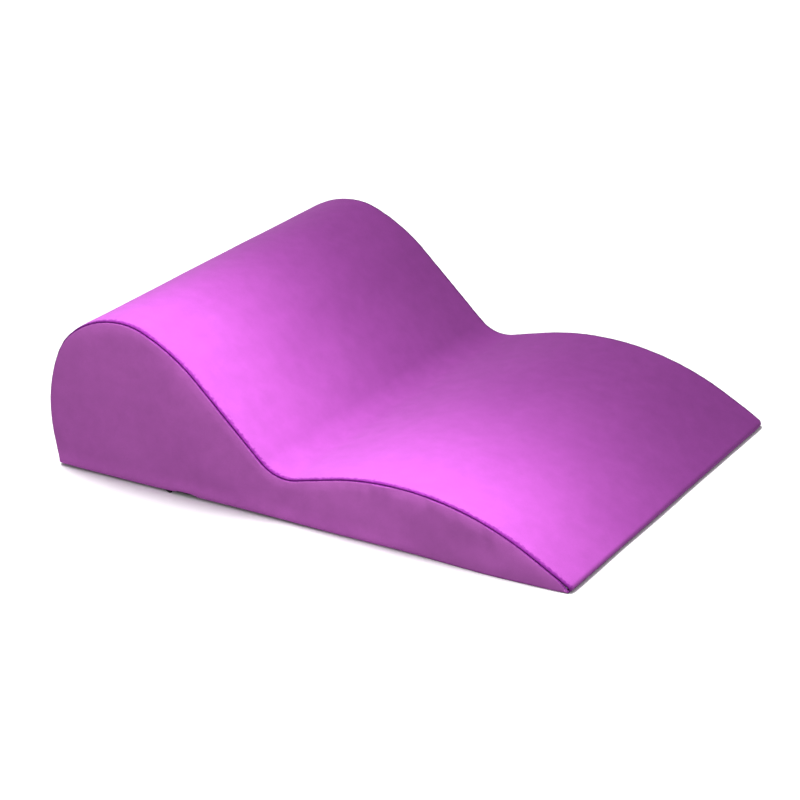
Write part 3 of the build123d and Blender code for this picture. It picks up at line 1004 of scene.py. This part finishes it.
# Both lie a little inside the cover, with their edges rounded by INNER_ROUND. Their
# underside steps up by the zip: how far in, how high, and how soft the step is.
INNER_ROUND = 6.0
FOAM_IN = 4.6
LINER_IN = 3.3
LINER_SIDE_IN = 9.8
LINER_PUCKER = 1.4
RECESS_DEEP = 26.0
RECESS_HIGH = 9.6
STEP_SOFT = 3.0
# Points across the foam, by distance in from its side: close together at the rounded
# edge and at the step, then even.
FOAM_EDGE = [0.0, 0.4, 1.2, 2.4, 4.0, 6.0, 10.0, 15.0, 20.0]
FOAM_STEP = [25.0, 26.5, 28.0, 29.5, 34.0]
# Stations along X on undersides, close together where the layer steps over the zip.
FOAM_UNDER = [(-144, -156, 9), (-162, -374, 40), (-376, -386, 8)]
FOAM_FLAT_TO = (-140, 90)
LINER_UNDER_BACK = [(-396, -382, 6), (-380.5, -374, 6), (-364, -160, 20)]
LINER_UNDER_FRONT = [(-152, -138, 10), (-128, 400, 50), (408, 414, 2)]
LINER_EDGE = [6.0, 8.0, 10.5, 13.5, 17.0, 21.0, 25.0, 26.5, 28.0, 29.5, 33.0]
# Section of the liner's top strip at its edge: distance in and height over the outline.
LINER_LIP = [(5.2, -5.6), (5.4, -3.9), (6.3, -2.4), (8.0, -1.2), (10.5, -0.3), (14.0, 0.0)]


def under_height(x, y, flat):
    """Height of the underside of a layer that steps over the zip's recess."""
    back = 1 - smooth((x - (HEEL[0] + RECESS_DEEP)) / STEP_SOFT)
    side = 1 - smooth((HALF_WIDTH - np.abs(y) - RECESS_DEEP) / STEP_SOFT)
    side = side * (1 - smooth((x - RECESS_END_X - 6) / STEP_SOFT))
    edge = 5.0 * (1 - smooth((HALF_WIDTH - np.abs(y) - 5.0) / 12.0))
    edge = edge * (1 - 0.8 * smooth((x - 330) / 60))
    high = RECESS_HIGH + (flat - LINER_IN)
    return np.maximum(flat + (high - flat) * np.maximum(back, side), flat + edge)


def inner_profile(inset, spacing):
    """The wave drawn in by an inset, from low at the back to low at the front."""
    line = rounded_line(CLOSED_WAVE)
    total = lengths(line)[-1]
    placed, normal = resample(line, np.arange(0, total, spacing))
    placed = placed - normal * inset
    return placed[placed[:, 1] > inset + 0.5]


def rounding(inset_y, start):
    """Extra inset near a side so that a layer's long edges are rounded."""
    near = np.clip(INNER_ROUND - (inset_y - start), 0, INNER_ROUND)
    return INNER_ROUND - np.sqrt(np.maximum(INNER_ROUND**2 - near**2, 0))


def make_foam():
    """One block of foam with softened edges and a step over the zip."""
    inset_y = np.concatenate([FOAM_IN + np.array(FOAM_EDGE), FOAM_STEP, np.arange(46, HALF_WIDTH - 5, 16)])
    across = np.concatenate([-(HALF_WIDTH - inset_y), (HALF_WIDTH - inset_y)[::-1]])
    rings = []
    for y in across:
        extra = float(rounding(HALF_WIDTH - abs(y), FOAM_IN))
        wave = inner_profile(FOAM_IN, 5.0)
        shrunk = inner_profile(FOAM_IN + extra, 5.0)
        low_x, high_x = shrunk[0, 0], shrunk[-1, 0]
        steps = np.linspace(0, 1, len(wave))
        own = np.linspace(0, 1, len(shrunk))
        top = np.stack([np.interp(steps, own, shrunk[:, k]) for k in range(2)], axis=1)
        bottom_x = spans([(high_x, *FOAM_FLAT_TO)] + FOAM_UNDER + [(low_x, low_x, 1)])
        bottom_z = under_height(bottom_x, y, FOAM_IN) + extra
        top[:, 1] = np.maximum(top[:, 1], under_height(top[:, 0], y, FOAM_IN) + extra)
        ring = np.concatenate([top, points_of(bottom_x, bottom_z)[:-1]])
        rings.append(points_of(ring[:, 0], y, ring[:, 1]))
    size = len(rings[0])
    faces = []
    for i in range(len(rings) - 1):
        for j in range(size):
            a, b = i * size + j, i * size + (j + 1) % size
            faces.append([a, b, b + size, a + size])
    last = (len(rings) - 1) * size
    faces.append([j for j in reversed(range(size))])
    faces.append([last + j for j in range(size)])
    core = new_object("foam_block", np.concatenate(rings), faces, foam)
    finish_soft(core, "foam_core")


def make_liner_top():
    """Liner strip over the top, with rounded edges."""
    placed = inner_profile(LINER_IN, 6.0)
    across = [(-HALF_WIDTH + inset, height) for inset, height in LINER_LIP]
    across += [(y, 0.0) for y in np.linspace(-HALF_WIDTH + 26, HALF_WIDTH - 26, 40)]
    across += [(HALF_WIDTH - inset, height) for inset, height in reversed(LINER_LIP)]
    across = np.array(across)
    tangent = np.gradient(placed, axis=0)
    tangent /= np.linalg.norm(tangent, axis=1)[:, None]
    normal = points_of(-tangent[:, 1], tangent[:, 0])
    rows, columns = len(placed), len(across)
    points = np.zeros((rows, columns, 3))
    points[:, :, 0] = placed[:, None, 0] + normal[:, None, 0] * across[None, :, 1]
    points[:, :, 1] = across[None, :, 0]
    points[:, :, 2] = placed[:, None, 1] + normal[:, None, 1] * across[None, :, 1]
    flat = points.reshape(-1, 3)
    flat[:, 2] = np.maximum(flat[:, 2], under_height(flat[:, 0], flat[:, 1], LINER_IN) + 0.3)
    shell, faces = closed_shell(flat, grid_faces(rows, columns, True), LINER_THICK)
    made = new_object("liner_top", shell, faces, liner_cloth)
    finish_soft(made, "liner_top_panel")


def make_liner_side(name, side, node):
    """Liner panel over one flat side of the foam."""
    wave = inner_profile(LINER_SIDE_IN, 6.0)
    x = np.arange(wave[-1, 0] - 6, wave[0, 0] + 1, -6.0)
    under = under_height(x, HALF_WIDTH - 3.0, LINER_IN) + 0.6
    loop = np.concatenate([wave, points_of(x, under)])
    loop[:, 1] = np.maximum(loop[:, 1], 4.0)
    placed, faces = filled_panel(loop, [2.5, 6.0], 12.0)
    from_seam, _ = distance_to_line(placed, wave)
    inset = LINER_IN + LINER_PUCKER * (1 - smooth(from_seam / 7.0))
    points = points_of(placed[:, 0], side * (HALF_WIDTH - inset), placed[:, 1])
    if side > 0:
        faces = [f[::-1] for f in faces]
    shell, faces = closed_shell(points, faces, LINER_THICK)
    made = new_object(name, shell, faces, liner_cloth)
    finish_soft(made, node)


def make_liner_base():
    """Liner panel under the foam, stepping over the zip."""
    x = spans(LINER_UNDER_BACK + LINER_UNDER_FRONT)
    inset = np.array(LINER_EDGE)
    y = np.concatenate([-(HALF_WIDTH - inset), np.linspace(-262, 262, 40), (HALF_WIDTH - inset)[::-1]])
    grid = np.array([[(a, b) for b in y] for a in x]).reshape(-1, 2)
    z = under_height(grid[:, 0], grid[:, 1], LINER_IN)
    points = points_of(grid[:, 0], grid[:, 1], z)
    shell, faces = closed_shell(points, grid_faces(len(x), len(y)), LINER_THICK)
    made = new_object("liner_base", shell, faces, liner_cloth)
    finish_soft(made, "liner_base_panel")


HARD_EDGE = 0.18
PULL_EDGE = 0.12


def finish_hard_parts():
    """Softens the edges of the moulded and metal parts that come from the CAD."""
    for node in ("zip_slider_body", "zip_pull_tab", "zip_stop_near", "zip_stop_far"):
        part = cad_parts[node]
        bevel = part.modifiers.new("edge", "BEVEL")
        bevel.width = (PULL_EDGE if node == "zip_pull_tab" else HARD_EDGE) * MM
        bevel.segments = 2
        bevel.limit_method = "ANGLE"
        part.data.materials.clear()
        part.data.materials.append(coil_plastic if "stop" in node else slider_paint)


# ---- light, floor, camera

FLOOR_REACH = 30000.0
FLOOR_COLOUR = (0.95, 0.95, 0.95, 1)


def make_floor():
    """A plain pale floor."""
    material, _, shader = new_material("floor")
    set_inputs(shader, {"Base Color": FLOOR_COLOUR, "Roughness": 0.9, "Specular IOR Level": 0.0})
    corners = ((-1, -1), (1, -1), (1, 1), (-1, 1))
    points = [(x * FLOOR_REACH, y * FLOOR_REACH, 0) for x, y in corners]
    floor = new_object("floor", points, [[0, 1, 2, 3]], material)
    floor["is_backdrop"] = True


def add_light(name, kind, place, turn, strength):
    """A lamp at a place in metres, turned by Euler angles in degrees."""
    data = bpy.data.lights.new(name, kind)
    data.energy = strength
    lamp = bpy.data.objects.new(name, data)
    bpy.context.scene.collection.objects.link(lamp)
    lamp.location = place
    lamp.rotation_euler = [math.radians(angle) for angle in turn]
    return lamp


# Lamps: place in metres, turn in degrees, and strength.
OVERHEAD = ((0.0, 0.2, 2.0), (-6.0, -20.0, 0.0), 3.5)
OVERHEAD_ANGLE = 16.0
KEY = ((0.07, -0.33, 0.56), (0.0, 20.0, -2.0), 10.0)
KEY_SIZE = (1.05, 0.1)
KEY_SPREAD = 125.0
FILL = ((0.3, -3.0, 0.30), (87.0, 0.0, 0.0), 42)
FILL_SIZE = 1.6
SKY_STRENGTH = 1.02


def make_lights():
    """Soft overhead light, a long key over the near edge and a low front fill.

    Key and fill light the cushion only, so that the floor stays even.
    """
    overhead = add_light("overhead", "SUN", *OVERHEAD)
    overhead.data.angle = math.radians(OVERHEAD_ANGLE)
    key = add_light("key", "AREA", *KEY)
    key.data.shape = "RECTANGLE"
    key.data.size, key.data.size_y = KEY_SIZE
    key.data.spread = math.radians(KEY_SPREAD)
    fill = add_light("fill", "AREA", *FILL)
    fill.data.size = FILL_SIZE
    lit = bpy.data.collections.new("lit_parts")
    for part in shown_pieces():
        lit.objects.link(part)
    for lamp in (key, fill):
        lamp.light_linking.receiver_collection = lit


def make_world():
    """White surround, brightest low down."""
    world = bpy.data.worlds.new("studio")
    world.use_nodes = True
    background = world.node_tree.nodes["Background"]
    tree = world.node_tree
    heading = tree.nodes.new("ShaderNodeTexCoord").outputs["Generated"]
    split = tree.nodes.new("ShaderNodeSeparateXYZ")
    set_inputs(split, {0: heading})
    sky = ramp_node(tree, split.outputs["Z"], greys(0.12, 1.0, 0.45, 0.40))
    set_inputs(background, {"Color": sky, "Strength": SKY_STRENGTH})
    bpy.context.scene.world = world
    bpy.context.scene.view_settings.view_transform = "Standard"


CAMERA_PLACE = (1.66583, -2.73590, 1.42682)
CAMERA_LENS = 109.36
SENSOR_WIDTH = 36.0
# Degrees: turned from +Y about Z, looking down, and leaning.
CAMERA_YAW, CAMERA_PITCH, CAMERA_ROLL = -31.63, 22.965, -1.13


def make_camera():
    """The photograph's point of view."""
    yaw, pitch, roll = (math.radians(angle) for angle in (CAMERA_YAW, CAMERA_PITCH, CAMERA_ROLL))
    forward = Vector((math.sin(yaw) * math.cos(pitch), math.cos(yaw) * math.cos(pitch), -math.sin(pitch)))
    right = forward.cross(Vector((0, 0, 1))).normalized()
    up = right.cross(forward)
    tilted_right = math.cos(roll) * right + math.sin(roll) * up
    tilted_up = -math.sin(roll) * right + math.cos(roll) * up
    data = bpy.data.cameras.new("camera")
    data.lens = CAMERA_LENS
    data.sensor_width = SENSOR_WIDTH
    camera = bpy.data.objects.new("camera", data)
    bpy.context.scene.collection.objects.link(camera)
    turn = Matrix((tilted_right, tilted_up, -forward)).transposed().to_4x4()
    camera.matrix_world = Matrix.Translation(CAMERA_PLACE) @ turn
    data.clip_end = 100.0
    bpy.context.scene.camera = camera


make_top_strip()
make_side_panel("velour_side_near", -1, "cover_side_panel_near", 5)
make_side_panel("velour_side_far", 1, "cover_side_panel_far", 25)
make_base()
make_zip()
make_seam_threads()
make_label()
make_foam()
make_liner_top()
make_liner_side("liner_side_near", -1, "liner_side_panel_near")
make_liner_side("liner_side_far", 1, "liner_side_panel_far")
make_liner_base()
finish_hard_parts()
make_floor()
make_lights()
make_world()
make_camera()
